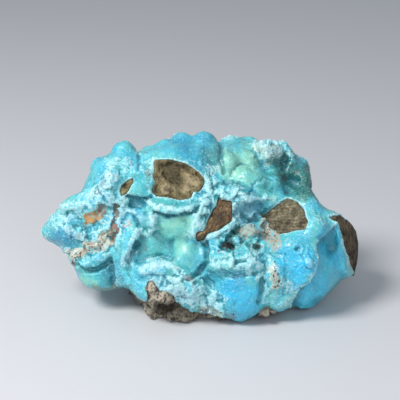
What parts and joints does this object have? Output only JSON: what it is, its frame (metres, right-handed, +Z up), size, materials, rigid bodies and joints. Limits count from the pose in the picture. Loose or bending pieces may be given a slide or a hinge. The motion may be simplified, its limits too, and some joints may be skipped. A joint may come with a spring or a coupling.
{
  "type": "hemimorphite specimen",
  "caption": "Blue-green botryoidal hemimorphite crust grown over brown host rock, with broken rock chips showing in its front; a display specimen that rests on its matrix.",
  "frame": {"origin": "on the flat resting face of the matrix rock, below the middle of the specimen", "axes": "+Z up, -Y out of the front that shows the rock chips, +X to the right seen from the front, along the specimen's length"},
  "size_m": [0.1078, 0.0588, 0.0566],
  "materials": {
    "hemimorphite_crust": "waxy, translucent, with white sugary edges",
    "matrix_rock": "rough, porous",
    "rock_fragment_large": "dull broken rock",
    "rock_fragment_slim": "dull broken rock",
    "rock_fragment_right": "dull, finely banded",
    "rock_fragment_small": "dull broken rock",
    "rock_fragment_end": "dull broken rock"
  },
  "bodies": {
    "root": {"hemimorphite_crust": "hemimorphite_crust", "matrix_rock": "matrix_rock", "rock_fragment_large": "rock_fragment_large", "rock_fragment_slim": "rock_fragment_slim", "rock_fragment_right": "rock_fragment_right", "rock_fragment_small": "rock_fragment_small", "rock_fragment_end": "rock_fragment_end"}
  },
  "joints": []
}
